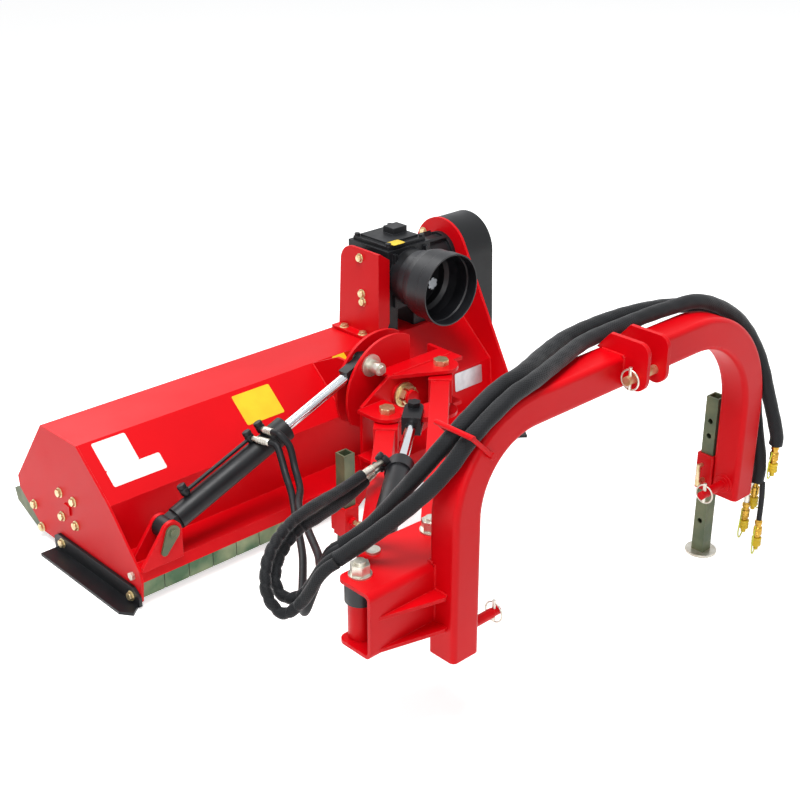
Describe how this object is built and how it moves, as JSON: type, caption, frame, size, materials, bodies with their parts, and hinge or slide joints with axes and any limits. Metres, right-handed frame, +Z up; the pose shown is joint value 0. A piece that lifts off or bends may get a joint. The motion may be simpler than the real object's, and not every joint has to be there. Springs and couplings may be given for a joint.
{
  "type": "flail mower",
  "caption": "Offset flail mower with an arched tractor hitch, parallel side-shift arms, hydraulic tilt and shift, belt-driven rotor under a folded hood and a rear roller.",
  "frame": {"origin": "on the ground, under the middle of the machine's box without its hoses", "axes": "+X along the cutting head towards the belt side, +Y away from the tractor, +Z up"},
  "size_m": [1.486, 1.516, 0.763],
  "materials": {
    "red_paint": "glossy powder coat",
    "black_paint": "satin black paint",
    "zinc_steel": "zinc plated",
    "olive_zinc": "olive passivated zinc",
    "chrome": "ground and chromed",
    "bare_steel": "machined",
    "cast_iron": "painted casting",
    "black_plastic": "moulded",
    "belt_rubber": "wrapped belt",
    "hose_sleeve": "woven nylon sleeve",
    "hose_rubber": "smooth hose cover",
    "brass": "turned",
    "yellow_plastic": "soft moulded"
  },
  "bodies": {
    "hitch_frame": {"hitch_arch": "red_paint", "pivot_bracket": "red_paint", "top_link_clevis": "red_paint", "top_link_pin": "zinc_steel", "lower_link_pins": "red_paint", "linch_pins": "zinc_steel", "jack_sleeve": "red_paint", "jack_leg": "olive_zinc", "frame_pivot_bolts": "zinc_steel", "pivot_spacers": "black_plastic", "arch_hoses": "hose_sleeve", "swing_hose": "hose_sleeve", "tilt_hose": "hose_rubber", "couplers": "brass", "dust_caps": "yellow_plastic"},
    "left_link": {"left_arm": "red_paint"},
    "right_link": {"right_arm": "red_paint"},
    "carrier": {"carrier_frame": "red_paint", "quadrant_plates": "red_paint", "arm_pivot_bolts": "zinc_steel", "stand_sleeve": "red_paint"},
    "side_shift_barrel": {"swing_barrel": "black_paint", "swing_fittings": "zinc_steel"},
    "side_shift_rod": {"swing_rod": "chrome", "swing_yoke": "black_paint"},
    "head": {"hood": "red_paint", "left_end_plate": "red_paint", "belt_plate": "red_paint", "tilt_mount": "red_paint", "tilt_nut": "zinc_steel", "cylinder_lugs": "red_paint", "cylinder_pin": "olive_zinc", "skids": "black_paint", "roller_brackets": "olive_zinc", "flap_rod": "zinc_steel", "gearbox_bracket": "red_paint", "gearbox_housing": "cast_iron", "gearbox_cover": "cast_iron", "pto_guard": "black_plastic", "belt_cover": "black_paint", "rotor_bearings": "bare_steel", "head_bolts": "zinc_steel", "drive_belts": "belt_rubber"},
    "tilt_cylinder_barrel": {"tilt_barrel": "black_paint", "tilt_fittings": "zinc_steel"},
    "tilt_cylinder_rod": {"tilt_rod": "chrome", "tilt_yoke": "black_paint", "tilt_pin": "zinc_steel"},
    "flail_rotor": {"rotor": "red_paint", "flails": "bare_steel", "lower_pulley": "cast_iron"},
    "gearbox_output": {"cross_shaft": "bare_steel", "upper_pulley": "cast_iron"},
    "input_shaft": {"pto_shaft": "bare_steel"},
    "roller": {"rear_roller": "bare_steel"},
    "flaps_odd": {"odd_flaps": "olive_zinc"},
    "flaps_even": {"even_flaps": "olive_zinc"},
    "jack_lock": {"jack_pin": "zinc_steel"},
    "stand_leg": {"parking_stand": "olive_zinc"},
    "stand_clamp": {"stand_screw": "zinc_steel"}
  },
  "joints": [
    {"name": "arm_swing", "type": "hinge", "parent": "hitch_frame", "child": "left_link", "pos_m": [-0.625, -0.569, 0.32], "axis": [0, 0, 1], "range_deg": [0, 60], "deforming": ["swing_hose", "tilt_hose"]},
    {"name": "right_arm_swing", "type": "hinge", "parent": "hitch_frame", "child": "right_link", "pos_m": [-0.406, -0.542, 0.32], "axis": [0, 0, 1], "range_deg": [-0.5, 60.5]},
    {"name": "carrier_pivot", "type": "hinge", "parent": "left_link", "child": "carrier", "pos_m": [0.00083, 0.03535, 0.27], "axis": [0, 0, 1], "range_deg": [-60.5, 0.5]},
    {"name": "side_shift_cylinder_pivot", "type": "hinge", "parent": "hitch_frame", "child": "side_shift_barrel", "pos_m": [-0.55, -0.522, 0.356], "axis": [0, 0, 1], "range_deg": [-0.5, 57]},
    {"name": "side_shift_rod_slide", "type": "slide", "parent": "side_shift_barrel", "child": "side_shift_rod", "axis": [0.7674, 0.6411, 0], "range_m": [-0.136, 0.002]},
    {"name": "head_tilt", "type": "hinge", "parent": "carrier", "child": "head", "pos_m": [0.11283, 0.15, 0.335], "axis": [0, 1, 0], "range_deg": [-30, 30], "deforming": ["tilt_hose"]},
    {"name": "tilt_cylinder_pivot", "type": "hinge", "parent": "head", "child": "tilt_cylinder_barrel", "pos_m": [-0.597, 0.169, 0.18], "axis": [0, 1, 0], "range_deg": [-2, 2]},
    {"name": "tilt_rod_slide", "type": "slide", "parent": "tilt_cylinder_barrel", "child": "tilt_cylinder_rod", "axis": [0.9353, 0, 0.3538], "range_m": [-0.058, 0.058]},
    {"name": "rotor_spin", "type": "hinge", "parent": "head", "child": "flail_rotor", "pos_m": [0, 0.466, 0.144], "axis": [1, 0, 0], "continuous": true},
    {"name": "output_spin", "type": "hinge", "parent": "head", "child": "gearbox_output", "pos_m": [0.5, 0.478, 0.512], "axis": [1, 0, 0], "continuous": true},
    {"name": "input_spin", "type": "hinge", "parent": "head", "child": "input_shaft", "pos_m": [0.416, 0.35, 0.512], "axis": [0, 1, 0], "continuous": true},
    {"name": "roller_spin", "type": "hinge", "parent": "head", "child": "roller", "pos_m": [0, 0.649, 0.058], "axis": [1, 0, 0], "continuous": true},
    {"name": "odd_flaps_swing", "type": "hinge", "parent": "head", "child": "flaps_odd", "pos_m": [0, 0.182, 0.08], "axis": [1, 0, 0], "range_deg": [0, 60]},
    {"name": "even_flaps_swing", "type": "hinge", "parent": "head", "child": "flaps_even", "pos_m": [0, 0.182, 0.08], "axis": [1, 0, 0], "range_deg": [0, 60]},
    {"name": "jack_pin_pull", "type": "slide", "parent": "hitch_frame", "child": "jack_lock", "axis": [-1, 0, 0], "range_m": [0, 0.06]},
    {"name": "stand_height", "type": "slide", "parent": "carrier", "child": "stand_leg", "axis": [0, 0, 1], "range_m": [-0.12, 0.03]},
    {"name": "stand_screw_turn", "type": "hinge", "parent": "carrier", "child": "stand_clamp", "pos_m": [-0.14137, 0.01335, 0.084], "axis": [0, 1, 0], "continuous": true}
  ],
  "couplings": [
    {"joint": "right_arm_swing", "follows": "arm_swing", "ratio": 1},
    {"joint": "carrier_pivot", "follows": "arm_swing", "ratio": -1},
    {"joint": "side_shift_cylinder_pivot", "follows": "arm_swing", "ratio": 0.9353},
    {"joint": "side_shift_rod_slide", "follows": "arm_swing", "m_per_rad": -0.12786},
    {"joint": "tilt_cylinder_pivot", "follows": "head_tilt", "ratio": 0.0512},
    {"joint": "tilt_rod_slide", "follows": "head_tilt", "m_per_rad": -0.10743},
    {"joint": "output_spin", "follows": "rotor_spin", "ratio": 0.78205},
    {"joint": "input_spin", "follows": "rotor_spin", "ratio": 0.26068}
  ]
}
